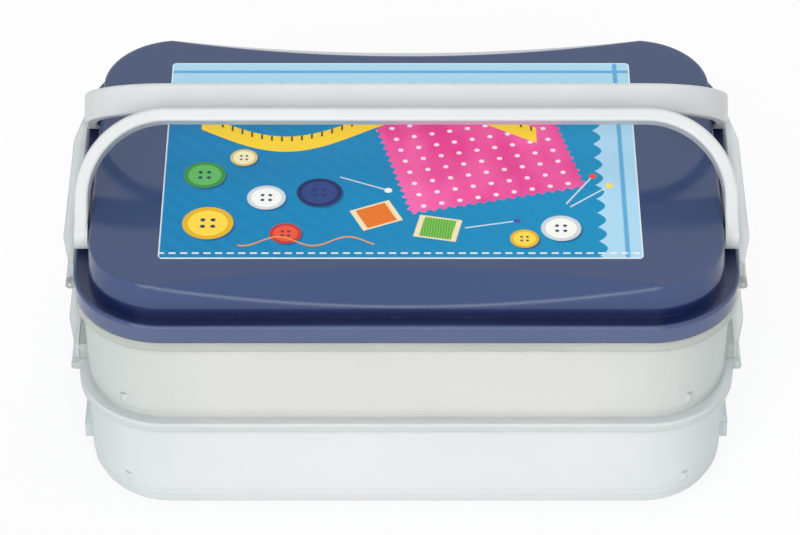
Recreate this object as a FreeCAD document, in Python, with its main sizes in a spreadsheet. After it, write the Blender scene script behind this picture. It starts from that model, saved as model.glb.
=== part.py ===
import FreeCAD, Part
import os
from math import acos, atan, degrees, pi

import Sketcher

# Two-tier storage box: two stacking trays, a lid with a raised plateau, two folding bails and snap flaps.
# The frame stands on the middle of the base, +X along the long side, +Y to the rear, +Z up.
# Every size below is in millimetres.
SIZES = {
    # the outline that the lid's flange and both tray rims share
    "flange_width": 325.0,
    "flange_depth": 220.0,
    "corner_radius": 45.0,
    # one tray
    "tray_height": 62.0,
    "nest_depth": 10.0,
    "neck_height": 4.0,
    "tray_wall": 2.0,
    "tray_floor": 2.0,
    "wall_draft": 0.5,
    "neck_recess": 0.6,
    "plug_draft": 0.8,
    "base_radius": 9.0,
    "floor_radius": 7.0,
    "rim_reach": 4.0,
    "rim_drop": 5.3,
    "rim_thickness": 1.6,
    "rim_radius": 0.5,
    "stack_clearance": 0.35,
    "seat_gap": 0.1,
    "pip_radius": 2.5,
    "pip_height": 5.0,
    "pip_lift": 2.5,
    "pip_reach": 1.0,
    # snap flaps and what they turn on and catch
    "clip_end_margin": 1.7,
    "clip_thickness": 2.0,
    "clip_lever": 11.0,
    "clip_gap": 0.6,
    "clip_side_gap": 0.3,
    "clip_lip_reach": 4.0,
    "clip_lip_thickness": 1.8,
    "clip_lip_taper": 20.0,
    "knuckle_radius": 2.0,
    "clip_pin_radius": 1.0,
    "lug_width": 4.0,
    "bead_height": 8.5,
    "bead_radius": 1.0,
    "bead_catch": 0.5,
    "groove_depth": 0.9,
    "groove_play": 1.2,
    "groove_headroom": 0.4,
    "rail_height": 9.4,
    # lid
    "lid_wall": 2.0,
    "lid_band": 10.0,
    "ledge_width": 7.3,
    "plateau_height": 17.0,
    "plateau_foot": 5.5,
    "plateau_draft": 2.7,
    "plateau_end_draft": 1.0,
    "plateau_radius": 1.2,
    "ledge_radius": 1.5,
    "scallop_drop": 10.4,
    "scallop_run": 14.5,
    "scallop_end_margin": 29.1,
    "rib_depth": 4.0,
    "rib_thickness": 1.8,
    # bails
    "strap_thickness": 6.6,
    "strap_width": 15.0,
    "strap_radius": 1.6,
    "strap_inset": 0.3,
    "strap_lift": 0.3,
    "bail_meeting_gap": 0.3,
    "trunnion_radius": 2.5,
    "trunnion_length": 7.0,
    "boss_radius": 4.5,
    "boss_length": 9.0,
    "boss_gap": 0.4,
    # printed sheet
    "label_end_margin": 37.1,
    "label_front_margin": 20.9,
    "label_radius": 2.2,
    "label_thickness": 0.3,
    "label_shift_left": 2.8,
    # general fits
    "journal_clearance": 0.05,
    "overrun": 2.0,
}
# Two levels this near to each other count as one.
MATCH = 1e-4
# A lug's nose takes up nearly all of its half height, and leaves a narrow flat.
lug_nose_share = 0.9
# How far from the middle line the bails pivot, as a share of the half depth.
bail_pivot_share = 0.44
# How far round each corner the pips stand: the sine of the turn from the long side.
pip_turn_share = 0.51


class Size:
    """A length or angle: its present value, and the formula that keeps features bound to the sheet."""

    def __init__(self, value, text):
        self.value = value
        self.text = text

    def join(self, other, sign, value):
        return Size(value, f"({self.text} {sign} {other.text})")

    def __add__(self, other):
        return self.join(other, "+", self.value + other.value)

    def __sub__(self, other):
        return self.join(other, "-", self.value - other.value)

    def __mul__(self, factor):
        other = factor if isinstance(factor, Size) else Size(factor, str(factor))
        return self.join(other, "*", self.value * other.value)

    def __truediv__(self, divisor):
        other = divisor if isinstance(divisor, Size) else Size(divisor, str(divisor))
        return self.join(other, "/", self.value / other.value)

    def __neg__(self):
        return Size(-self.value, f"(-{self.text})")

    def root(self):
        return Size(self.value ** 0.5, f"sqrt({self.text})")


ZERO = Size(0.0, "0")

doc = FreeCAD.newDocument("storage_box")
sheet = doc.addObject("Spreadsheet::Sheet", "Sizes")
for row, (alias, number) in enumerate(SIZES.items(), start=1):
    sheet.set(f"A{row}", alias)
    sheet.set(f"B{row}", str(number))
    sheet.setAlias(f"B{row}", alias)
doc.recompute()


def size(alias):
    return Size(float(sheet.get(alias)), f"Sizes.{alias}")


# Shared levels and insets. An inset is counted inward from the flange outline.
half_width = size("flange_width") / 2
half_depth = size("flange_depth") / 2
tray_pitch = size("tray_height") - size("nest_depth") + size("seat_gap")
lid_seat = tray_pitch + size("tray_height") + size("seat_gap")
ledge_level = lid_seat + size("lid_band")
shoulder_level = ledge_level + size("plateau_foot")
plateau_level = ledge_level + size("plateau_height")
plateau_inset = size("ledge_width") + size("plateau_draft")
plateau_end_inset = size("ledge_width") + size("plateau_end_draft")

wall_inset = size("rim_reach")
wall_foot_inset = wall_inset + size("wall_draft")
neck_inset = wall_foot_inset + size("neck_recess")
mouth_inset = wall_inset + size("tray_wall")
plug_inset = mouth_inset + size("stack_clearance")
base_inset = plug_inset + size("plug_draft")
neck_top = size("nest_depth") + size("neck_height")

# The snap flap's hinge line, counted from a tray's own base and outward from the flange outline.
hinge_out = size("clip_gap") + size("clip_thickness")
hinge_level = size("tray_height") - size("rim_drop") / 2
bead_level = hinge_level + size("bead_height")
groove_low = bead_level - size("bead_radius") - size("groove_play") - size("tray_height")
groove_high = bead_level + size("bead_radius") + size("groove_headroom") - size("tray_height")
straight_end = half_depth - size("corner_radius")
lug_middle = straight_end - size("clip_end_margin") - size("lug_width") / 2
clip_length = (lug_middle - size("lug_width") / 2 - size("clip_side_gap")) * 2

# The bail's strap runs round the flange outline when it is folded down.
strap_middle_inset = size("strap_inset") + size("strap_thickness") / 2
bail_half_span = half_width - strap_middle_inset
bail_pivot = half_depth * bail_pivot_share
bail_length = half_depth - strap_middle_inset - bail_pivot
bail_turn_radius = size("corner_radius") - strap_middle_inset
pivot_level = ledge_level + size("strap_lift") + size("strap_width") / 2


def bind(target, prop, amount):
    target.setExpression(prop, amount.text)


def origin_plane(body, role):
    return next(feature for feature in body.Origin.OriginFeatures if feature.Role == role)


def new_body(name):
    body = doc.addObject("PartDesign::Body", name)
    body.Label = name
    return body


def place(body, x, y, z, axis=(0, 0, 1), angle=ZERO):
    """Puts a finished body where it belongs, turned about an axis through its own origin."""
    base = FreeCAD.Vector(x.value, y.value, z.value)
    turn = FreeCAD.Rotation(FreeCAD.Vector(*axis), angle.value)
    body.Placement = FreeCAD.Placement(base, turn)
    for letter, amount in (("x", x), ("y", y), ("z", z)):
        bind(body, f"Placement.Base.{letter}", amount)
    if angle is not ZERO:
        bind(body, "Placement.Rotation.Angle", angle)


def new_sketch(body, name, role, offset=ZERO):
    sketch = body.newObject("Sketcher::SketchObject", f"{body.Name}_{name}")
    sketch.AttachmentSupport = [(origin_plane(body, role), "")]
    sketch.MapMode = "FlatFace"
    sketch.AttachmentOffset = FreeCAD.Placement(FreeCAD.Vector(0, 0, offset.value), FreeCAD.Rotation())
    bind(sketch, "AttachmentOffset.Base.z", offset)
    return sketch


def fix_distance(sketch, kind, first, second, amount):
    """Holds the run from one point to another at a size; the points swap where it runs backwards."""
    if amount.value < 0:
        first, second, amount = second, first, -amount
    index = sketch.addConstraint(Sketcher.Constraint(kind, *first, *second, amount.value))
    bind(sketch, f"Constraints[{index}]", amount)


def fix_point(sketch, point, x, y):
    """Ties a sketch point to its place, counted from the sketch's own origin."""
    for kind, axis, amount in (("DistanceX", -2, x), ("DistanceY", -1, y)):
        if amount is ZERO:
            sketch.addConstraint(Sketcher.Constraint("PointOnObject", *point, axis))
        else:
            fix_distance(sketch, kind, (-1, 1), point, amount)


def fix_radius(sketch, index, radius):
    held = sketch.addConstraint(Sketcher.Constraint("Radius", index, radius.value))
    bind(sketch, f"Constraints[{held}]", radius)


def draw_polygon(sketch, points):
    first = sketch.GeometryCount
    corners = [FreeCAD.Vector(x.value, y.value, 0) for x, y in points]
    count = len(points)
    for i in range(count):
        sketch.addGeometry(Part.LineSegment(corners[i], corners[(i + 1) % count]))
    for i in range(count):
        sketch.addConstraint(Sketcher.Constraint("Coincident", first + i, 2, first + (i + 1) % count, 1))
        fix_point(sketch, (first + i, 1), *points[i])


def draw_circle(sketch, x, y, radius):
    centre = FreeCAD.Vector(x.value, y.value, 0)
    index = sketch.addGeometry(Part.Circle(centre, FreeCAD.Vector(0, 0, 1), radius.value))
    fix_point(sketch, (index, 3), x, y)
    fix_radius(sketch, index, radius)


def draw_rounded_box(sketch, width, depth, radius):
    """A rounded rectangle about the sketch's origin: four sides and four corner arcs, taken in turn."""
    first = sketch.GeometryCount
    x, y, r = width.value / 2, depth.value / 2, radius.value
    up = FreeCAD.Vector(0, 0, 1)
    turns = ((x - r, r - y, -pi / 2), (x - r, y - r, 0.0), (r - x, y - r, pi / 2), (r - x, r - y, pi))
    sides = (
        ((r - x, -y), (x - r, -y)),
        ((x, r - y), (x, y - r)),
        ((x - r, y), (r - x, y)),
        ((-x, y - r), (-x, r - y)),
    )
    for (start, end), (centre_x, centre_y, angle) in zip(sides, turns):
        sketch.addGeometry(Part.LineSegment(FreeCAD.Vector(*start, 0), FreeCAD.Vector(*end, 0)))
        circle = Part.Circle(FreeCAD.Vector(centre_x, centre_y, 0), up, r)
        sketch.addGeometry(Part.ArcOfCircle(circle, angle, angle + pi / 2))
    chain = range(first, first + 8)
    bottom, turn, right, _, top, far_turn, left, _ = chain
    for i in range(8):
        sketch.addConstraint(Sketcher.Constraint("Tangent", chain[i], 2, chain[(i + 1) % 8], 1))
    for kind, pair in (("Horizontal", (bottom, top)), ("Vertical", (right, left))):
        for side in pair:
            sketch.addConstraint(Sketcher.Constraint(kind, side))
    for arc in chain[3::2]:
        sketch.addConstraint(Sketcher.Constraint("Equal", turn, arc))
    sketch.addConstraint(Sketcher.Constraint("Symmetric", turn, 3, far_turn, 3, -1, 1))
    fix_distance(sketch, "DistanceX", (left, 1), (right, 1), width)
    fix_distance(sketch, "DistanceY", (bottom, 1), (top, 1), depth)
    fix_radius(sketch, turn, radius)


def draw_flange_outline(sketch, inset):
    width = size("flange_width") - inset * 2
    depth = size("flange_depth") - inset * 2
    draw_rounded_box(sketch, width, depth, size("corner_radius") - inset)


def flange_outline(body, name, level, inset):
    sketch = new_sketch(body, name, "XY_Plane", level)
    draw_flange_outline(sketch, inset)
    return sketch


def loft(body, name, kind, foot, top):
    feature = body.newObject(f"PartDesign::{kind}Loft", f"{body.Name}_{name}")
    feature.Profile = foot
    feature.Sections = [top]
    feature.Ruled = True
    doc.recompute()


def tier(body, name, kind, low, low_inset, high, high_inset):
    """A slab between two levels whose outline is the flange's, inset at the foot and at the top."""
    foot = flange_outline(body, f"{name}_foot", low, low_inset)
    top = flange_outline(body, f"{name}_top", high, high_inset)
    loft(body, name, kind, foot, top)


def extrude(body, name, kind, sketch, length):
    """A pad or pocket that reaches half its length to each side of its sketch."""
    feature = body.newObject(f"PartDesign::{kind}", f"{body.Name}_{name}")
    feature.Profile = sketch
    feature.Midplane = True
    bind(feature, "Length", length)
    doc.recompute()
    return feature


def round_edges(body, name, radius, wanted):
    """Rounds the edges of the body so far whose box of bounds passes the test."""
    base = body.Tip
    names = [f"Edge{i}" for i, edge in enumerate(base.Shape.Edges, start=1) if wanted(edge.BoundBox)]
    fillet = body.newObject("PartDesign::Fillet", f"{body.Name}_{name}")
    fillet.Base = (base, names)
    bind(fillet, "Radius", radius)
    doc.recompute()
    return fillet


def cut_out(body, core):
    """Takes the shape of another body out of this one."""
    hollow = body.newObject("PartDesign::Boolean", f"{body.Name}_hollow")
    hollow.setObjects([core])
    hollow.Type = "Cut"
    doc.recompute()


def at_level(level):
    """A test for edges that lie flat at one level."""
    return lambda box: box.ZLength < MATCH and abs(box.ZMin - level.value) < MATCH


def mirrored_pair(points):
    """The same outline on the right end and, mirrored, on the left end."""
    return points, [(-x, y) for x, y in reversed(points)]


def end_blocks(body, name, kind, low, high, inner, outer, length, offset=ZERO):
    """One block on each short end, from one half width out to another and from one level to another."""
    sketch = new_sketch(body, name, "XZ_Plane", offset)
    for points in mirrored_pair([(inner, low), (outer, low), (outer, high), (inner, high)]):
        draw_polygon(sketch, points)
    return extrude(body, f"{name}_block", kind, sketch, length)


def catch_groove(body, name, foot):
    """The long groove on each short end that a snap flap's bead drops into."""
    low = foot + groove_low
    high = foot + groove_high
    inner = half_width - size("groove_depth")
    outer = half_width + size("overrun")
    length = clip_length + size("overrun")
    end_blocks(body, name, "Pocket", low, high, inner, outer, length)


def build_tray(name, base_level):
    body = new_body(name)
    rim_low = size("tray_height") - size("rim_drop")
    rim_under = size("tray_height") - size("rim_thickness")

    # Rim: a turned-down band, hollow behind, before the wall fills its middle.
    tier(body, "rim", "Additive", rim_low, ZERO, size("tray_height"), ZERO)
    band_inset = size("rim_thickness")
    tier(body, "rim_hollow", "Subtractive", rim_low - size("overrun"), band_inset, rim_under, band_inset)

    # Wall, neck and the plug that stands in the mouth of the tray below.
    tier(body, "wall", "Additive", neck_top, wall_foot_inset, size("tray_height"), wall_inset)
    tier(body, "neck", "Additive", size("nest_depth"), neck_inset, neck_top, neck_inset)
    tier(body, "plug", "Additive", ZERO, base_inset, size("nest_depth"), plug_inset)
    round_edges(body, "base_round", size("base_radius"), at_level(ZERO))

    # Catch rail on each short end, which the flaps of the tray below hold.
    rail_low = size("nest_depth") + size("seat_gap")
    rail_high = rail_low + size("rail_height")
    rail_length = clip_length + size("overrun") * 2
    rail_inner = half_width - neck_inset - size("tray_wall") / 2
    end_blocks(body, "rail", "Pad", rail_low, rail_high, rail_inner, half_width, rail_length)

    # Lugs for the flaps' journals, at both ends of the rim's band.
    lug_low = hinge_level - size("knuckle_radius")
    lug_high = hinge_level + size("knuckle_radius")
    lug_outer = half_width + hinge_out + size("knuckle_radius")
    lug_inner = half_width - size("rim_thickness") / 2
    lugs = (("front", lug_middle), ("rear", -lug_middle))
    lug_width = size("lug_width")
    for side, offset in lugs:
        end_blocks(body, f"{side}_lug", "Pad", lug_low, lug_high, lug_inner, lug_outer, lug_width, offset)

    def at_lug_nose(box):
        along = box.YLength > MATCH and box.ZLength < MATCH
        return along and abs(abs(box.XMin) - lug_outer.value) < MATCH and box.XLength < MATCH

    round_edges(body, "lug_round", size("knuckle_radius") * lug_nose_share, at_lug_nose)

    # Small pips on the four corners, a little above the step of the wall.
    pips = new_sketch(body, "pips", "XY_Plane", neck_top + size("pip_lift") + size("pip_height") / 2)
    pip_out = size("corner_radius") - wall_foot_inset - size("pip_radius") + size("pip_reach")
    sideways = pip_out * pip_turn_share
    pip_x = half_width - size("corner_radius") + sideways
    pip_y = half_depth - size("corner_radius") + (pip_out * pip_out - sideways * sideways).root()
    for x in (pip_x, -pip_x):
        for y in (pip_y, -pip_y):
            draw_circle(pips, x, y, size("pip_radius"))
    extrude(body, "pip_studs", "Pad", pips, size("pip_height"))

    # The inside, from the floor up: the plug's part first, then the wall's.
    core = new_body(f"{name}_core")
    inner_step = neck_top + size("tray_wall")
    step_inset = neck_inset + size("tray_wall")
    floor_inset = base_inset + size("tray_wall")
    mouth_level = size("tray_height") + size("overrun")
    tier(core, "plug", "Additive", size("tray_floor"), floor_inset, inner_step, step_inset)
    tier(core, "wall", "Additive", inner_step, step_inset, mouth_level, mouth_inset)
    round_edges(core, "floor_round", size("floor_radius"), at_level(size("tray_floor")))
    cut_out(body, core)
    round_edges(body, "rim_round", size("rim_radius"), at_level(size("tray_height")))

    catch_groove(body, "rail_groove", size("nest_depth"))
    bore_radius = size("clip_pin_radius") + size("journal_clearance")
    bore_length = lug_width + size("overrun")
    for side, offset in lugs:
        sketch = new_sketch(body, f"{side}_bore", "XZ_Plane", offset)
        for x in (half_width + hinge_out, -(half_width + hinge_out)):
            draw_circle(sketch, x, hinge_level, bore_radius)
        extrude(body, f"{side}_bore_cut", "Pocket", sketch, bore_length)
    place(body, ZERO, ZERO, base_level)
    return body


def scallop(body, name, growth, rear):
    """A shallow cylindrical trough that slopes down through the plateau's front or rear edge."""
    drop = size("scallop_drop")
    run = size("scallop_run")
    slope = size("plateau_draft") / (plateau_level - shoulder_level)
    reach = run + drop * slope
    length = (reach * reach + drop * drop).root()
    across = reach / length
    rise = drop / length
    # distance from the plateau's sharp edge down to the trough's bottom line
    bite = drop * across - drop * slope * rise
    half_chord = half_width - plateau_end_inset - size("scallop_end_margin")
    radius = (half_chord * half_chord + bite * bite) / (bite * 2)
    # the trough's axis starts in front of the wall, one radius over its bottom line
    start_y = half_depth - plateau_inset + drop * slope + size("overrun") * across + radius * rise
    start_z = plateau_level - drop - size("overrun") * rise + radius * across
    turn = Size(degrees(atan(reach.value / drop.value)), f"atan({reach.text} / {drop.text})")

    trough = body.newObject("PartDesign::SubtractiveCylinder", f"{body.Name}_{name}")
    trough.AttachmentSupport = [(origin_plane(body, "XY_Plane"), "")]
    trough.MapMode = "FlatFace"
    sign = 1 if rear else -1
    axis = FreeCAD.Vector(sign, 0, 0)
    place = FreeCAD.Vector(0, sign * start_y.value, start_z.value)
    trough.AttachmentOffset = FreeCAD.Placement(place, FreeCAD.Rotation(axis, turn.value))
    bind(trough, "AttachmentOffset.Base.y", start_y if rear else -start_y)
    bind(trough, "AttachmentOffset.Base.z", start_z)
    bind(trough, "AttachmentOffset.Rotation.Angle", turn)
    bind(trough, "Radius", radius + growth)
    bind(trough, "Height", length + size("overrun") * 2 + size("plateau_height"))
    doc.recompute()


def plateau_tier(body, high, thinner):
    """The lid's raised part from its shoulder up, whose ends lean in less than its long sides."""
    foot = flange_outline(body, "shoulder", shoulder_level, size("ledge_width") + thinner)
    top = new_sketch(body, "plateau_top", "XY_Plane", high)
    width = (half_width - plateau_end_inset - thinner) * 2
    depth = (half_depth - plateau_inset - thinner) * 2
    draw_rounded_box(top, width, depth, size("corner_radius") - size("ledge_width") - thinner)
    loft(body, "plateau", "Additive", foot, top)


def build_lid():
    core = new_body("lid_core")
    under = ledge_level - size("lid_wall")
    roof = plateau_level - size("lid_wall")
    wall = size("lid_wall")
    tier(core, "skirt", "Additive", lid_seat - size("overrun"), wall, under, wall)
    foot_inset = size("ledge_width")
    tier(core, "foot", "Additive", under, foot_inset + wall, shoulder_level, foot_inset + wall)
    plateau_tier(core, roof, wall)
    scallop(core, "front_scallop", wall, False)
    scallop(core, "rear_scallop", wall, True)

    body = new_body("lid")
    tier(body, "flange", "Additive", lid_seat, ZERO, ledge_level, ZERO)
    round_edges(body, "flange_round", size("ledge_radius"), at_level(ledge_level))
    tier(body, "foot", "Additive", ledge_level, foot_inset, shoulder_level, foot_inset)
    plateau_tier(body, plateau_level, ZERO)
    round_edges(body, "plateau_round", size("plateau_radius"), at_level(plateau_level))
    scallop(body, "front_scallop", ZERO, False)
    scallop(body, "rear_scallop", ZERO, True)

    def at_scallop_lip(box):
        return box.ZLength > MATCH and box.XLength > half_width.value

    round_edges(body, "scallop_round", size("plateau_radius"), at_scallop_lip)
    cut_out(body, core)

    # Locating rib that stands in the upper tray's mouth.
    rib = new_sketch(body, "rib", "XY_Plane", lid_seat - size("rib_depth"))
    for inset in (plug_inset, plug_inset + size("rib_thickness")):
        draw_flange_outline(rib, inset)
    pad = body.newObject("PartDesign::Pad", "lid_rib_pad")
    pad.Profile = rib
    bind(pad, "Length", under - lid_seat + size("rib_depth") + wall / 2)
    doc.recompute()

    # Bosses for the bails' trunnions, and their bores.
    boss_face = half_width - size("strap_inset") - size("strap_thickness") - size("boss_gap")
    for side, sign in (("right", 1), ("left", -1)):
        middle = boss_face - size("boss_length") / 2
        offset = middle if sign > 0 else -middle
        for part, kind, radius, length in (
            ("boss", "Pad", size("boss_radius"), size("boss_length")),
            ("bore", "Pocket", size("trunnion_radius") + size("journal_clearance"),
             size("boss_length") + size("overrun")),
        ):
            sketch = new_sketch(body, f"{side}_{part}", "YZ_Plane", offset)
            for y in (bail_pivot, -bail_pivot):
                draw_circle(sketch, y, pivot_level, radius)
            extrude(body, f"{side}_{part}_bar", kind, sketch, length)

    catch_groove(body, "flap_groove", lid_seat)
    return body


def draw_strap(sketch, half_span, length, turn):
    """The closed outline of the U about its middle line: the outer side first, then the inner side."""
    up = FreeCAD.Vector(0, 0, 1)
    sides = []
    for grow in (size("strap_thickness") / 2, size("strap_thickness") / -2):
        x, y, radius = half_span + grow, length + grow, turn + grow
        right, far, r = x.value, y.value, radius.value
        bend = far - r
        side = sketch.GeometryCount
        sides.append(side)
        points = ((right, 0), (right, bend), (right - r, far), (r - right, far), (-right, bend), (-right, 0))
        corners = [FreeCAD.Vector(*point, 0) for point in points]
        circles = [Part.Circle(FreeCAD.Vector(centre, bend, 0), up, r) for centre in (right - r, r - right)]
        sketch.addGeometry(Part.LineSegment(corners[0], corners[1]))
        sketch.addGeometry(Part.ArcOfCircle(circles[0], 0, pi / 2))
        sketch.addGeometry(Part.LineSegment(corners[2], corners[3]))
        sketch.addGeometry(Part.ArcOfCircle(circles[1], pi / 2, pi))
        sketch.addGeometry(Part.LineSegment(corners[4], corners[5]))
        for i in range(side, side + 4):
            sketch.addConstraint(Sketcher.Constraint("Tangent", i, 2, i + 1, 1))
        sketch.addConstraint(Sketcher.Constraint("Vertical", side))
        sketch.addConstraint(Sketcher.Constraint("Horizontal", side + 2))
        sketch.addConstraint(Sketcher.Constraint("Vertical", side + 4))
        sketch.addConstraint(Sketcher.Constraint("Equal", side + 1, side + 3))
        fix_radius(sketch, side + 1, radius)
        fix_point(sketch, (side, 1), x, ZERO)
        fix_point(sketch, (side + 4, 2), -x, ZERO)
        fix_distance(sketch, "DistanceY", (-1, 1), (side + 2, 1), y)
    outer, inner = sides
    for first, second in (((outer, 1), (inner, 1)), ((outer + 4, 2), (inner + 4, 2))):
        end = sketch.addGeometry(Part.LineSegment(sketch.getPoint(*first), sketch.getPoint(*second)))
        sketch.addConstraint(Sketcher.Constraint("Coincident", end, 1, *first))
        sketch.addConstraint(Sketcher.Constraint("Coincident", end, 2, *second))


def build_bail(name, rear):
    """A flat strap bent to a U in the body's own XY plane, with the pivot line through its origin."""
    body = new_body(name)
    half = size("strap_thickness") / 2
    wide = size("strap_width") / 2
    strap = new_sketch(body, "strap", "XY_Plane")
    if rear:
        strap.AttachmentOffset = FreeCAD.Placement(FreeCAD.Vector(), FreeCAD.Rotation(180, 0, 0))
    draw_strap(strap, bail_half_span, bail_length, bail_turn_radius)
    extrude(body, "strap_pad", "Pad", strap, size("strap_width"))

    def along_strap(box):
        return box.ZLength < MATCH and box.YLength + abs(box.YMin) > MATCH

    round_edges(body, "strap_round", size("strap_radius"), along_strap)

    # Round feet about the pivot line, and the trunnions that turn in the lid's bosses.
    face = bail_half_span - half
    outside = bail_half_span + half
    bars = (
        ("foot", face, outside, wide),
        ("trunnion", face - size("trunnion_length"), bail_half_span, size("trunnion_radius")),
    )
    for part, inner, outer, radius in bars:
        middle = (inner + outer) / 2
        for side, offset in (("right", middle), ("left", -middle)):
            sketch = new_sketch(body, f"{side}_{part}", "YZ_Plane", offset)
            draw_circle(sketch, ZERO, ZERO, radius)
            extrude(body, f"{side}_{part}_bar", "Pad", sketch, outer - inner)

    # The bail leans in until its bar all but meets the other one over the middle of the lid.
    far = bail_length + half - size("strap_radius")
    low = wide - size("strap_radius")
    reach = (far * far + low * low).root()
    across = bail_pivot - size("bail_meeting_gap") / 2 - size("strap_radius")
    angle = degrees(acos(across.value / reach.value) + atan(low.value / far.value))
    lean = Size(angle, f"acos({across.text} / {reach.text}) + atan({low.text} / {far.text})")
    if rear:
        place(body, ZERO, bail_pivot, pivot_level, (-1, 0, 0), lean)
    else:
        place(body, ZERO, -bail_pivot, pivot_level, (1, 0, 0), lean)
    return body


def build_clip(name, base_level, left):
    """A snap flap that turns on a line along Y through the body's own origin; +X faces outward."""
    body = new_body(name)
    inner = -size("clip_thickness")
    top = size("clip_lever")
    lip = size("clip_lip_reach")
    lip_low = top - size("clip_lip_thickness")
    plate = new_sketch(body, "plate", "XZ_Plane")
    outline = [(inner, ZERO), (ZERO, ZERO), (ZERO, lip_low), (lip, lip_low), (lip, top), (inner, top)]
    draw_polygon(plate, outline)
    extrude(body, "plate_pad", "Pad", plate, clip_length)

    # The pull lip narrows towards both ends of the flap.
    taper = new_sketch(body, "lip_ends", "XY_Plane", top)
    start = clip_length / 2 - size("clip_lip_taper")
    draw_polygon(taper, [(ZERO, clip_length / 2), (lip, clip_length / 2), (lip, start)])
    draw_polygon(taper, [(ZERO, clip_length / -2), (lip, clip_length / -2), (lip, -start)])
    extrude(body, "lip_ends_cut", "Pocket", taper, size("clip_lip_thickness") * 2 + size("overrun"))

    # Knuckle on the hinge line, the bead that snaps into the groove, and the journals in the lugs.
    bead_x = size("bead_radius") - hinge_out - size("bead_catch")
    journal_length = lug_middle * 2 + size("lug_width")
    bars = (
        ("knuckle", ZERO, ZERO, size("knuckle_radius"), clip_length),
        ("bead", bead_x, size("bead_height"), size("bead_radius"), clip_length),
        ("journal", ZERO, ZERO, size("clip_pin_radius"), journal_length),
    )
    for part, x, z, radius, bar_length in bars:
        sketch = new_sketch(body, part, "XZ_Plane")
        draw_circle(sketch, x, z, radius)
        extrude(body, f"{part}_bar", "Pad", sketch, bar_length)
    out = half_width + hinge_out
    if left:
        place(body, -out, ZERO, base_level + hinge_level)
        body.Placement.Rotation = FreeCAD.Rotation(180, 0, 0)
    else:
        place(body, out, ZERO, base_level + hinge_level)
    return body


def build_label():
    """The thin printed sheet that lies on the plateau."""
    body = new_body("label_card")
    sketch = new_sketch(body, "sheet", "XY_Plane")
    width = (half_width - plateau_end_inset - size("label_end_margin")) * 2
    depth = (half_depth - plateau_inset - size("label_front_margin")) * 2
    draw_rounded_box(sketch, width, depth, size("label_radius"))
    pad = body.newObject("PartDesign::Pad", "label_card_pad")
    pad.Profile = sketch
    bind(pad, "Length", size("label_thickness"))
    doc.recompute()
    place(body, -size("label_shift_left"), ZERO, plateau_level)
    return body


pieces = [
    build_tray("lower_tray", ZERO),
    build_tray("upper_tray", tray_pitch),
    build_lid(),
    build_bail("front_bail", False),
    build_bail("rear_bail", True),
    build_clip("upper_clip_left", tray_pitch, True),
    build_clip("upper_clip_right", tray_pitch, False),
    build_clip("lower_clip_left", ZERO, True),
    build_clip("lower_clip_right", ZERO, False),
    build_label(),
]
doc.recompute()

for made in doc.Objects:
    if "Invalid" in made.State or "Error" in made.State:
        raise RuntimeError(f"{made.Name} failed: {made.State}")
for piece in pieces:
    shape = piece.Shape
    if shape.isNull() or not shape.isValid() or len(shape.Solids) != 1:
        raise RuntimeError(f"{piece.Label} is not one sound solid")

os.makedirs("parts", exist_ok=True)
for piece in pieces:
    piece.Shape.exportStep(f"parts/{piece.Label}.step")
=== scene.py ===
from math import cos, radians, sin, tau

import bpy
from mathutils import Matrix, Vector


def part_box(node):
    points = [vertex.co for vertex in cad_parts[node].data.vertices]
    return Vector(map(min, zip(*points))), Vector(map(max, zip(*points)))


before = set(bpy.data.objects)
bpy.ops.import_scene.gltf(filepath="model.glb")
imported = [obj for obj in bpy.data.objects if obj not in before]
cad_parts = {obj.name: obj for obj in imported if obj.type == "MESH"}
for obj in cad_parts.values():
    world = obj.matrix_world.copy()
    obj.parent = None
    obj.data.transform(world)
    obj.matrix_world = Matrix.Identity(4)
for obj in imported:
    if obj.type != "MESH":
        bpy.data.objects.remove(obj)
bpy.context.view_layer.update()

scene = bpy.context.scene

# Lengths are in metres, in the frame of the CAD model, except where a comment says otherwise.

# Camera: its height angle, the point that it looks at, how far off it stands, how far it sees, and its
# lens and sensor in millimetres.
VIEW_ELEVATION = radians(39.5)
VIEW_TARGET = (-0.00317, 0.0, 0.07059)
VIEW_DISTANCE = 1.9156
VIEW_REACH = 50.0
VIEW_LENS = 169.1
SENSOR_WIDTH = 36.0

# Light that the open surroundings give to the surfaces.
AMBIENT = 0.58
# Seen directly, in gloss or through clear walls, the surroundings are white but for a dark patch, high in
# front, as the open side of a studio is. It fades in between two cosines of the angle from its middle.
DARK_SIDE = (0.0, -0.53, 0.848)
DARK_LEVEL = 0.12
DARK_START = 0.93
DARK_FULL = 0.985

# Square lamps: name, place, side, power in watts, and whether glossy faces mirror the lamp.
LAMPS = (
    ("key", (-0.8, -4.0, 2.1), 4.6, 216.0, True),
    ("fill", (1.4, 0.9, 2.6), 2.0, 10.0, True),
    ("back", (0.6, 3.6, 1.2), 2.4, 50.0, False),
)

# The floor's side, and how much of it is plain white where it is seen.
FLOOR_SIZE = 12.0
FLOOR_GLOW = 0.84

# How far below the lid's top the skirt of its flange begins, and half the step in which its painted sheen
# fades in.
SKIRT_DROP = 0.0185
SKIRT_SHEEN_FADE = 0.0006

# How far the band of a tray's rim hangs down, and half the step in which its painted shade fades in.
RIM_DROP = 0.0053
RIM_SHADE_FADE = 0.0003

# Where the painted shade towards a tray's ends starts and is full, counted from the middle of the box.
ENDS_SHADE_START = 0.09
ENDS_SHADE_FULL = 0.16

# Noise runs from 0 to 1, and most of its values lie between these.
NOISE_LOW = 0.3
NOISE_HIGH = 0.7

WHITE = (1.0, 1.0, 1.0, 1.0)


def srgb(red, green, blue):
    """A colour as a screen shows it, 0 to 255, as linear values with full alpha."""
    def linear(value):
        share = value / 255
        return share / 12.92 if share <= 0.04045 else ((share + 0.055) / 1.055) ** 2.4
    return (linear(red), linear(green), linear(blue), 1.0)


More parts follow.
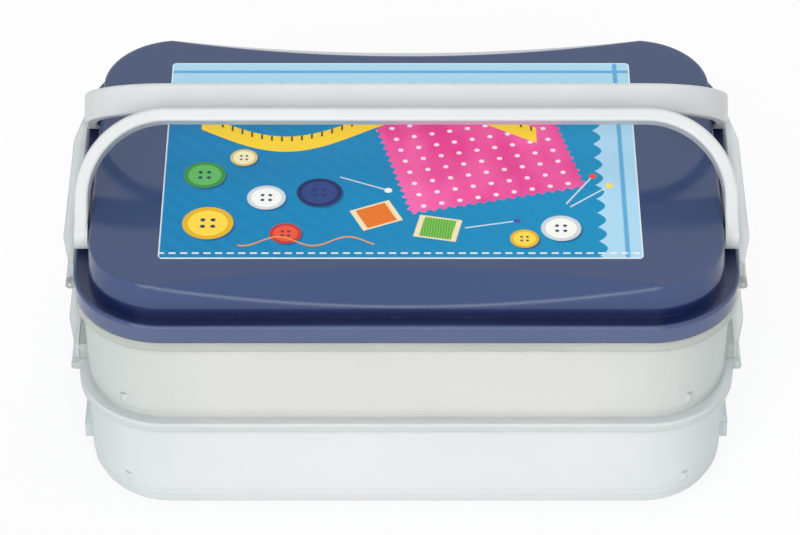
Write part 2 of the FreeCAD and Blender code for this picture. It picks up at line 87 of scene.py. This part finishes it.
class Graph:
    """A material's node tree with short calls for the nodes that are used here."""

    # Rays for each look at edges and corners.
    RAYS = 4
    # Cosines of the angle between a face and its rounded direction: still flat, and fully an edge.
    EDGE_FLAT = 0.99
    EDGE_SHARP = 0.8

    def __init__(self, name):
        self.material = bpy.data.materials.new(name)
        self.material.use_nodes = True
        self.nodes = self.material.node_tree.nodes
        self.links = self.material.node_tree.links
        self.shader = self.nodes["Principled BSDF"]
        self.output = self.nodes["Material Output"]

    def feed(self, socket, value):
        """Links another node's output to a socket, or sets a plain value on it."""
        if isinstance(value, bpy.types.NodeSocket):
            self.links.new(value, socket)
        else:
            socket.default_value = value

    def node(self, kind, *values, **settings):
        """A new node with its settings, and with values or links for its first inputs."""
        made = self.nodes.new(f"ShaderNode{kind}")
        for key, value in settings.items():
            setattr(made, key, value)
        for socket, value in zip(made.inputs, values):
            self.feed(socket, value)
        return made

    def set(self, **values):
        """Feeds the shader's sockets; an underscore in a name stands for a space."""
        for name, value in values.items():
            self.feed(self.shader.inputs[name.replace("_", " ")], value)

    def math(self, operation, *values, clamp=False):
        return self.node("Math", *values, operation=operation, use_clamp=clamp).outputs[0]

    def plus(self, first, second):
        return self.math("ADD", first, second)

    def minus(self, first, second):
        return self.math("SUBTRACT", first, second)

    def times(self, first, second):
        return self.math("MULTIPLY", first, second)

    def size(self, value):
        """The value without its sign."""
        return self.math("ABSOLUTE", value)

    def ramp(self, value, low, high, start=0.0, end=1.0):
        """Runs from start to end while the value runs from low to high."""
        return self.node("MapRange", value, low, high, start, end).outputs[0]

    def above(self, value, level, fade):
        """One where the value is above a level and zero below it, with a soft step."""
        return self.ramp(value, level - fade, level + fade)

    def below(self, value, level, fade):
        """One where the value is below a level and zero above it, with a soft step."""
        return self.ramp(value, level + fade, level - fade)

    def mix(self, share, first, second):
        """Runs from the first colour to the second while the share runs from zero to one."""
        made = self.node("Mix", data_type="RGBA")
        for name, value in (("Factor_Float", share), ("A_Color", first), ("B_Color", second)):
            socket = next(s for s in made.inputs if s.identifier == name)
            self.feed(socket, value)
        return next(s for s in made.outputs if s.identifier == "Result_Color")

    def place(self):
        return self.node("TexCoord").outputs["Object"]

    def axes(self):
        """The place on the object along x, y and z."""
        return self.node("SeparateXYZ", self.place()).outputs

    def noise(self, scale, detail=2.0, stretch=(1, 1, 1)):
        """Cloudy noise over the object, with so many waves to the metre."""
        mapping = self.node("Mapping", self.place())
        mapping.inputs["Scale"].default_value = stretch
        made = self.node("TexNoise")
        self.feed(made.inputs["Vector"], mapping.outputs[0])
        made.inputs["Scale"].default_value = scale
        made.inputs["Detail"].default_value = detail
        return made.outputs[0]

    def spread(self, noise, start=0.0, end=1.0):
        """Noise stretched to run from start to end."""
        return self.ramp(noise, NOISE_LOW, NOISE_HIGH, start, end)

    def bump(self, fine, coarse, weight, strength, depth, base=None):
        """The surface's direction with a fine and a weighted coarse grain, given in waves to the metre."""
        height = self.plus(self.noise(fine), self.times(self.noise(coarse), weight))
        made = self.node("Bump")
        self.feed(made.inputs["Height"], height)
        made.inputs["Strength"].default_value = strength
        made.inputs["Distance"].default_value = depth
        if base:
            self.feed(made.inputs["Normal"], base)
        return made.outputs[0]

    def flat(self):
        """The surface's own direction."""
        return self.node("NewGeometry").outputs["Normal"]

    def rounded(self, radius):
        """The surface's direction, as if its edges were rounded so far."""
        made = self.node("Bevel", samples=self.RAYS)
        made.inputs["Radius"].default_value = radius
        return made.outputs[0]

    def edges(self, radius):
        """Near one along sharp edges and zero on open faces."""
        dot = self.node("VectorMath", self.rounded(radius), self.flat(), operation="DOT_PRODUCT")
        return self.ramp(dot.outputs["Value"], self.EDGE_FLAT, self.EDGE_SHARP)

    def worn(self, radius, scale, low, high):
        """Patches along sharp edges, where a noise of that scale is high."""
        patches = self.ramp(self.noise(scale, 4), low, high)
        return self.math("MULTIPLY", self.edges(radius), patches, clamp=True)

    def corners(self, reach, opened, closed):
        """One in the piece's own inner corners and zero on open faces."""
        made = self.node("AmbientOcclusion", samples=self.RAYS, only_local=True)
        made.inputs["Distance"].default_value = reach
        return self.ramp(made.outputs["AO"], opened, closed)


def lid_plastic():
    """Navy moulded plastic with a clean gloss and rubbed edges, painted shade in its inner corners and a
    painted sheen on the skirt.
    """
    navy, navy_pale = srgb(47, 65, 104), srgb(51, 69, 109)
    navy_shade, navy_sheen, navy_rubbed = srgb(13, 23, 64), srgb(71, 82, 115), srgb(92, 110, 150)
    navy_shade_share, rubbed_share, rubbed_roughness = 0.95, 0.18, 0.2
    smooth, dull = 0.11, 0.17
    edge_radius = 0.0024

    g = Graph("navy_plastic")
    inner = g.corners(reach=0.03, opened=1.0, closed=0.8)
    skirt = g.below(g.axes()[2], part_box("lid")[1].z - SKIRT_DROP, SKIRT_SHEEN_FADE)
    sheen_streaks = g.spread(g.noise(30, 3, (1, 1, 4)), 0.8, 1.0)
    rubbed = g.worn(radius=0.0012, scale=70, low=0.42, high=0.68)
    colour = g.mix(g.noise(9, 3), navy, navy_pale)
    # Painted shade: the lid's inner corners, the ledge and the plateau's foot are darkened towards a deep
    # navy.
    colour = g.mix(g.times(inner, navy_shade_share), colour, navy_shade)
    # Painted sheen: the flange's skirt is a lighter, greyer navy in streaks, standing in for its reflection
    # of bright surroundings.
    colour = g.mix(g.times(skirt, sheen_streaks), colour, navy_sheen)
    colour = g.mix(g.times(rubbed, rubbed_share), colour, navy_rubbed)
    flow_marks = g.spread(g.noise(14, 3, (0.25, 3, 1)), smooth, dull)
    roughness = g.plus(flow_marks, g.times(rubbed, rubbed_roughness))
    # Edges that stand out are softened, and inner corners stay sharp.
    softened = g.mix(inner, g.rounded(edge_radius), g.flat())
    g.set(Base_Color=colour, Roughness=roughness, IOR=1.5)
    g.set(Normal=g.bump(fine=900, coarse=60, weight=2.0, strength=0.12, depth=0.00012, base=softened))
    return g.material


def bail_plastic():
    """Satin white plastic with a fine moulded grain and greyed, handled edges."""
    white, white_pale, handled = srgb(194, 198, 198), srgb(201, 204, 204), srgb(180, 184, 184)
    handled_share = 0.35
    smooth, dull = 0.36, 0.5

    g = Graph("white_plastic")
    worn = g.worn(radius=0.0016, scale=55, low=0.38, high=0.66)
    colour = g.mix(g.spread(g.noise(18, 4)), white, white_pale)
    colour = g.mix(g.times(worn, handled_share), colour, handled)
    g.set(Base_Color=colour, Roughness=g.spread(g.noise(120, 3), smooth, dull), IOR=1.49)
    g.set(Normal=g.bump(fine=1500, coarse=260, weight=1.5, strength=0.25, depth=0.00016))
    return g.material


def milky_plastic(name, pale, deep, clear, rim=None, rim_top=0.0, lip=0.0, ends=None):
    """Frosted, see-through polypropylene: milky body, soft gloss, flow clouds and fine scuffs.

    Sharp edges get painted shade lines, greyer and greener, and inner corners get painted shade. A tray also
    gets painted shade on the band of its rim, below a pale lip if it has one, and painted shade, darker and
    greener, towards its two ends.
    """
    edge_shade, edge_shade_share = srgb(184, 200, 198), 0.5
    corner_shade, corner_shade_share = srgb(190, 200, 198), 0.3
    absorbed_tint, absorbed_density = srgb(176, 230, 224), 22.0
    smooth, dull = 0.34, 0.44

    g = Graph(name)
    colour = g.mix(g.spread(g.noise(11, 4, (1, 1, 2))), pale, deep)
    if rim:
        x, _, height = g.axes()
        # Painted shade: darker and greener towards the tray's two ends.
        colour = g.mix(g.ramp(g.size(x), ENDS_SHADE_START, ENDS_SHADE_FULL), colour, ends)
        # Painted shade: the band of the rim, below the pale lip if there is one, is darker in streaks,
        # standing in for the shade under and inside the rim.
        band = g.above(height, rim_top - RIM_DROP, RIM_SHADE_FADE)
        if lip:
            band = g.times(band, g.below(height, rim_top - lip, RIM_SHADE_FADE))
        streaks = g.spread(g.noise(26, 3, (1, 1, 4)), 0.8, 1.0)
        colour = g.mix(g.times(band, streaks), colour, rim)
    # Painted shade: thin grey-green lines along every sharp edge.
    colour = g.mix(g.times(g.edges(0.0015), edge_shade_share), colour, edge_shade)
    # Painted shade: inner corners are darkened towards a grey-green.
    inner = g.corners(reach=0.004, opened=0.8, closed=0.3)
    colour = g.mix(g.times(inner, corner_shade_share), colour, corner_shade)
    scuffs = g.ramp(g.noise(70, 5, (6, 6, 0.6)), 0.35, 0.7, smooth, dull)
    g.set(Base_Color=colour, Roughness=scuffs, IOR=1.49, Transmission_Weight=clear)
    g.set(Normal=g.bump(fine=700, coarse=45, weight=2.5, strength=0.14, depth=0.00015))
    volume = g.node("VolumeAbsorption")
    volume.inputs["Color"].default_value = absorbed_tint
    volume.inputs["Density"].default_value = absorbed_density
    g.links.new(volume.outputs[0], g.output.inputs["Volume"])
    return g.material


class Print(Graph):
    """Flat shapes on the label, drawn one over another, with places counted from its middle."""

    # Half the step in which the edge of a shape fades.
    FADE = 0.00025

    def __init__(self, name, node, ground):
        super().__init__(name)
        low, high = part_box(node)
        x, y, _ = self.axes()
        self.x = self.minus(x, (low.x + high.x) / 2)
        self.y = self.minus(y, (low.y + high.y) / 2)
        self.half_x = (high.x - low.x) / 2
        self.half_y = (high.y - low.y) / 2
        self.colour = ground

    def inside(self, amount):
        """One where the amount is above zero."""
        return self.above(amount, 0.0, self.FADE)

    def paint(self, mask, colour):
        """Lays a colour over what is drawn so far, where the mask is one."""
        self.colour = self.mix(mask, self.colour, colour)

    def both(self, first, second):
        """One where both masks are one."""
        return self.math("MINIMUM", first, second)

    def local(self, x, y, turn=0.0):
        """Distances from a point along two axes, which may be turned by an angle in degrees."""
        dx = self.minus(self.x, x)
        dy = self.minus(self.y, y)
        if not turn:
            return dx, dy
        c, s = cos(radians(turn)), sin(radians(turn))
        along = self.plus(self.times(dx, c), self.times(dy, s))
        across = self.minus(self.times(dy, c), self.times(dx, s))
        return along, across

    def away(self, dx, dy):
        """The distance that two distances at a right angle make."""
        return self.math("SQRT", self.plus(self.times(dx, dx), self.times(dy, dy)))

    def wave(self, value, length, height):
        """A sine along the value, up to that height both ways."""
        return self.times(self.math("SINE", self.times(value, tau / length)), height)

    def zigzag(self, value, length, height):
        """Straight teeth along the value, from zero to that height."""
        return self.math("PINGPONG", self.times(value, 2 * height / length), height)

    def strip(self, value, half):
        """One within half a width of where the value is zero."""
        return self.inside(self.minus(half, self.size(value)))

    def disc(self, x, y, radius):
        return self.inside(self.minus(radius, self.away(*self.local(x, y))))

    def dashes(self, value, length, share):
        """One along the dashes of a broken line, which take that share of its length."""
        return self.inside(self.minus(length * share, self.math("FLOORED_MODULO", value, length)))

    def button(self, x, y, radius, colour, rim):
        """A four-hole button with a raised rim, and its shadow."""
        shadow, hole = srgb(8, 92, 138), srgb(30, 52, 92)
        shadow_x, shadow_y = 0.0008, -0.0012
        face_radius, hole_step, hole_radius = radius * 0.78, radius * 0.2, radius * 0.1
        self.paint(self.disc(x + shadow_x, y + shadow_y, radius), shadow)
        self.paint(self.disc(x, y, radius), rim)
        self.paint(self.disc(x, y, face_radius), colour)
        for side in (-hole_step, hole_step):
            for end in (-hole_step, hole_step):
                self.paint(self.disc(x + side, y + end, hole_radius), hole)

    def spool(self, x, y, turn, colour, shade):
        """A wooden spool, seen from the side, with its turns of thread."""
        wood_half_length, wood_half_width = 0.0105, 0.0085
        thread_half_length, thread_half_width = 0.0078, 0.0074
        pitch, pitch_share, slant = 0.0013, 0.4, 0.12
        along, across = self.local(x, y, turn)
        wood = self.both(self.strip(along, wood_half_length), self.strip(across, wood_half_width))
        self.paint(wood, srgb(240, 222, 180))
        thread = self.both(self.strip(along, thread_half_length), self.strip(across, thread_half_width))
        self.paint(thread, colour)
        turns = self.dashes(self.plus(along, self.times(across, slant)), pitch, pitch_share)
        self.paint(self.both(thread, turns), shade)

    def pin(self, x, y, turn, colour):
        """A dressmaker's pin with a round head."""
        half_length, half_width, head_radius = 0.013, 0.0004, 0.0019
        along, across = self.local(x, y, turn)
        shaft = self.both(self.strip(along, half_length), self.strip(across, half_width))
        self.paint(shaft, srgb(214, 222, 228))
        head_x = x + half_length * cos(radians(turn))
        head_y = y + half_length * sin(radians(turn))
        self.paint(self.disc(head_x, head_y, head_radius), colour)


def draw_ground(g):
    """Teal with faint slanting stripes, and pale scalloped borders along the right end and the rear."""
    bright_share = 0.8
    stripe_pitch, stripe_part, stripe_share = 0.012, 0.5, 0.16
    border, scallop_length, scallop_height = 0.021, 0.022, 0.004
    line_inset, line_half = 0.0075, 0.0011
    g.paint(g.ramp(g.x, -g.half_x, g.half_x, 0.0, bright_share), srgb(0, 144, 190))
    stripes = g.dashes(g.plus(g.x, g.y), stripe_pitch, stripe_part)
    g.paint(g.times(stripes, stripe_share), srgb(24, 146, 186))
    sides = ((g.x, g.y, g.half_x), (g.y, g.x, g.half_y))
    for across, along, half in sides:
        edge = g.plus(half - border, g.size(g.wave(along, scallop_length, scallop_height)))
        g.paint(g.inside(g.minus(across, edge)), srgb(170, 214, 236))
    for across, _, half in sides:
        g.paint(g.strip(g.minus(across, half - line_inset), line_half), srgb(96, 168, 212))


def draw_cloth(g):
    """A dotted piece of cloth with pinked edges and soft folds."""
    half_length, half_width = 0.043, 0.04
    tooth_length, tooth_height = 0.005, 0.0022
    dot_step, dot_radius = 0.0046, 0.0013
    along, across = g.local(0.038, 0.006, turn=14)
    reach = g.plus(half_length, g.zigzag(across, tooth_length, tooth_height))
    width = g.plus(half_width, g.zigzag(along, tooth_length, tooth_height))
    cloth = g.both(g.inside(g.minus(reach, g.size(along))), g.inside(g.minus(width, g.size(across))))
    folds = g.ramp(g.noise(34, 3, (1, 0.5, 1)), 0.35, 0.65)
    g.paint(cloth, g.mix(folds, srgb(226, 60, 142), srgb(244, 104, 172)))
    columns = g.math("PINGPONG", along, dot_step)
    rows = g.math("PINGPONG", across, dot_step)
    dots = g.inside(g.minus(dot_radius, g.away(columns, rows)))
    g.paint(g.both(cloth, dots), srgb(252, 226, 236))


def draw_tape(g):
    """A tape that waves across, with plain marks along one side."""
    tape_y, wave_start, wave_length, wave_height = 0.026, 0.02, 0.15, 0.015
    middle_x, half_length, half_width = -0.016, 0.084, 0.0062
    mark_pitch, mark_share, mark_start = 0.005, 0.2, 0.0022
    swing = g.wave(g.plus(g.x, wave_start), wave_length, wave_height)
    across = g.minus(g.y, g.plus(tape_y, swing))
    tape = g.both(g.strip(across, half_width), g.strip(g.minus(g.x, middle_x), half_length))
    g.paint(tape, srgb(250, 210, 52))
    marks = g.both(g.dashes(g.x, mark_pitch, mark_share), g.inside(g.minus(across, mark_start)))
    g.paint(g.both(tape, marks), srgb(74, 62, 40))


def draw_notions(g, white):
    """Buttons, spools, a loose thread and pins."""
    yellow, amber = srgb(250, 214, 70), srgb(226, 176, 34)
    # Place, radius, colour and rim.
    for button in (
        (-0.094, -0.052, 0.0125, yellow, amber),
        (-0.066, -0.032, 0.0095, white, srgb(206, 214, 220)),
        (-0.097, -0.014, 0.0105, srgb(96, 184, 96), srgb(58, 142, 70)),
        (-0.056, -0.060, 0.0078, srgb(232, 84, 62), srgb(190, 52, 44)),
        (-0.040, -0.028, 0.0112, srgb(44, 66, 128), srgb(26, 42, 96)),
        (-0.078, 0.000, 0.0068, srgb(250, 236, 190), srgb(222, 196, 130)),
        (0.078, -0.056, 0.0098, white, srgb(204, 212, 220)),
        (0.060, -0.064, 0.0070, yellow, amber),
    ):
        g.button(*button)
    g.spool(-0.012, -0.046, 24, srgb(240, 128, 42), srgb(206, 94, 24))
    g.spool(0.018, -0.056, -12, srgb(122, 192, 82), srgb(84, 152, 54))

    thread_y, wave_length, wave_height = -0.066, 0.034, 0.0034
    middle_x, half_length, half_width = -0.046, 0.033, 0.0005
    across = g.minus(g.y, g.plus(thread_y, g.wave(g.x, wave_length, wave_height)))
    thread = g.both(g.strip(across, half_width), g.strip(g.minus(g.x, middle_x), half_length))
    g.paint(thread, srgb(244, 150, 70))

    # Place, turn in degrees and colour of the head.
    for pin in (
        (0.088, -0.026, 58, srgb(238, 72, 60)),
        (0.093, -0.031, 40, srgb(252, 220, 90)),
        (-0.018, -0.021, -24, white),
        (0.044, -0.053, 12, srgb(60, 88, 170)),
    ):
        g.pin(*pin)


def draw_edges(g, white):
    """A stitched line along the front, and a hair of white stock at the die-cut edge."""
    stitch_inset, stitch_half, stitch_pitch, stitch_share = 0.004, 0.0005, 0.0056, 0.6
    cut_width = 0.0006
    line = g.strip(g.minus(g.y, stitch_inset - g.half_y), stitch_half)
    g.paint(g.both(line, g.dashes(g.x, stitch_pitch, stitch_share)), white)
    past_x = g.minus(g.size(g.x), g.half_x - cut_width)
    past_y = g.minus(g.size(g.y), g.half_y - cut_width)
    g.paint(g.inside(g.math("MAXIMUM", past_x, past_y)), srgb(226, 234, 238))


def label_print(node):
    """A made-up print of sewing notions on satin stock, very slightly flecked."""
    white = srgb(244, 244, 238)
    fleck_share = 0.02
    smooth, dull = 0.4, 0.52
    g = Print("label_print", node, ground=srgb(0, 122, 176))
    draw_ground(g)
    draw_cloth(g)
    draw_tape(g)
    draw_notions(g, white)
    draw_edges(g, white)
    g.paint(g.ramp(g.noise(2600, 1), 0.35, 0.65, 0.0, fleck_share), white)
    g.set(Base_Color=g.colour, Roughness=g.spread(g.noise(80, 3), smooth, dull), IOR=1.4)
    g.set(Specular_IOR_Level=0.2)
    g.set(Normal=g.bump(fine=1400, coarse=38, weight=3.0, strength=0.1, depth=0.0001))
    return g.material


def seen_rays(nodes, links):
    """One for rays from the camera, in gloss or through clear walls, and zero for rays that give light."""
    path = nodes.new("ShaderNodeLightPath")
    total = path.outputs["Is Camera Ray"]
    for name in ("Is Glossy Ray", "Is Transmission Ray"):
        either = nodes.new("ShaderNodeMath")
        either.operation = "MAXIMUM"
        links.new(total, either.inputs[0])
        links.new(path.outputs[name], either.inputs[1])
        total = either.outputs[0]
    return total


def make_world():
    """White surroundings with the dark patch where they are seen, and an even light from all sides."""
    world = bpy.data.worlds.new("studio")
    world.use_nodes = True
    nodes, links = world.node_tree.nodes, world.node_tree.links
    background = nodes["Background"]
    background.inputs["Color"].default_value = WHITE
    facing = nodes.new("ShaderNodeVectorMath")
    facing.operation = "DOT_PRODUCT"
    links.new(nodes.new("ShaderNodeTexCoord").outputs["Generated"], facing.inputs[0])
    facing.inputs[1].default_value = DARK_SIDE
    seen = nodes.new("ShaderNodeMapRange")
    seen.interpolation_type = "SMOOTHSTEP"
    links.new(facing.outputs["Value"], seen.inputs["Value"])
    seen.inputs["From Min"].default_value = DARK_START
    seen.inputs["From Max"].default_value = DARK_FULL
    seen.inputs["To Min"].default_value = 1.0
    seen.inputs["To Max"].default_value = DARK_LEVEL
    strength = nodes.new("ShaderNodeMapRange")
    links.new(seen_rays(nodes, links), strength.inputs["Value"])
    strength.inputs["To Min"].default_value = AMBIENT
    links.new(seen.outputs[0], strength.inputs["To Max"])
    links.new(strength.outputs[0], background.inputs["Strength"])
    scene.world = world


def make_floor():
    """A pale paper floor that keeps the object's shadow and is nearly white where it is seen."""
    bpy.ops.mesh.primitive_plane_add(size=FLOOR_SIZE)
    floor = bpy.context.object
    floor.name = "floor"
    g = Graph("pale_floor")
    paper = g.mix(g.spread(g.noise(3, 3)), srgb(236, 237, 238), srgb(241, 242, 242))
    g.set(Base_Color=paper, Roughness=0.9, Specular_IOR_Level=0.0)
    glow = g.node("Emission", WHITE, 1.0)
    share = g.times(seen_rays(g.nodes, g.links), FLOOR_GLOW)
    blend = g.node("MixShader", share, g.shader.outputs[0], glow.outputs[0])
    g.links.new(blend.outputs[0], g.output.inputs["Surface"])
    floor.data.materials.append(g.material)


def soft_lamp(name, place, side, power, mirrored):
    """A large square lamp turned to the object's middle, which glossy faces mirror or not."""
    data = bpy.data.lights.new(name, "AREA")
    data.size = side
    data.energy = power
    lamp = bpy.data.objects.new(name, data)
    lamp.location = place
    towards = Vector(VIEW_TARGET) - lamp.location
    lamp.rotation_euler = towards.to_track_quat("-Z", "Y").to_euler()
    lamp.visible_glossy = mirrored
    scene.collection.objects.link(lamp)


def make_camera():
    """The photograph's view, from straight in front and above."""
    data = bpy.data.cameras.new("photo_view")
    data.lens = VIEW_LENS
    data.sensor_width = SENSOR_WIDTH
    data.clip_end = VIEW_REACH
    camera = bpy.data.objects.new("photo_view", data)
    back = VIEW_DISTANCE * cos(VIEW_ELEVATION)
    up = VIEW_DISTANCE * sin(VIEW_ELEVATION)
    camera.location = Vector(VIEW_TARGET) + Vector((0.0, -back, up))
    camera.rotation_euler = (radians(90) - VIEW_ELEVATION, 0.0, 0.0)
    scene.collection.objects.link(camera)
    scene.camera = camera


def dress(material, *names):
    """Gives CAD nodes a material."""
    for name in names:
        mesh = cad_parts[name].data
        mesh.materials.clear()
        mesh.materials.append(material)


scene.view_settings.view_transform = "Standard"
make_camera()
make_world()
make_floor()
for lamp in LAMPS:
    soft_lamp(*lamp)

# The rim colours and the ends colours given to the trays below are painted shade.
upper_milky = milky_plastic(
    "milky_warm", pale=srgb(251, 249, 246), deep=srgb(247, 246, 243), clear=0.55,
    rim=srgb(202, 206, 199), rim_top=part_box("upper_tray")[1].z, ends=srgb(226, 233, 230))
lower_milky = milky_plastic(
    "milky_cool", pale=srgb(252, 252, 252), deep=srgb(249, 249, 250), clear=0.55,
    rim=srgb(222, 228, 226), rim_top=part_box("lower_tray")[1].z, lip=0.0018, ends=srgb(236, 242, 245))
clip_milky = milky_plastic("milky_clip", pale=srgb(249, 251, 252), deep=srgb(245, 248, 249), clear=0.6)

dress(lid_plastic(), "lid")
dress(bail_plastic(), "front_bail", "rear_bail")
dress(upper_milky, "upper_tray")
dress(lower_milky, "lower_tray")
dress(clip_milky, "upper_clip_left", "upper_clip_right", "lower_clip_left", "lower_clip_right")
dress(label_print("label_card"), "label_card")
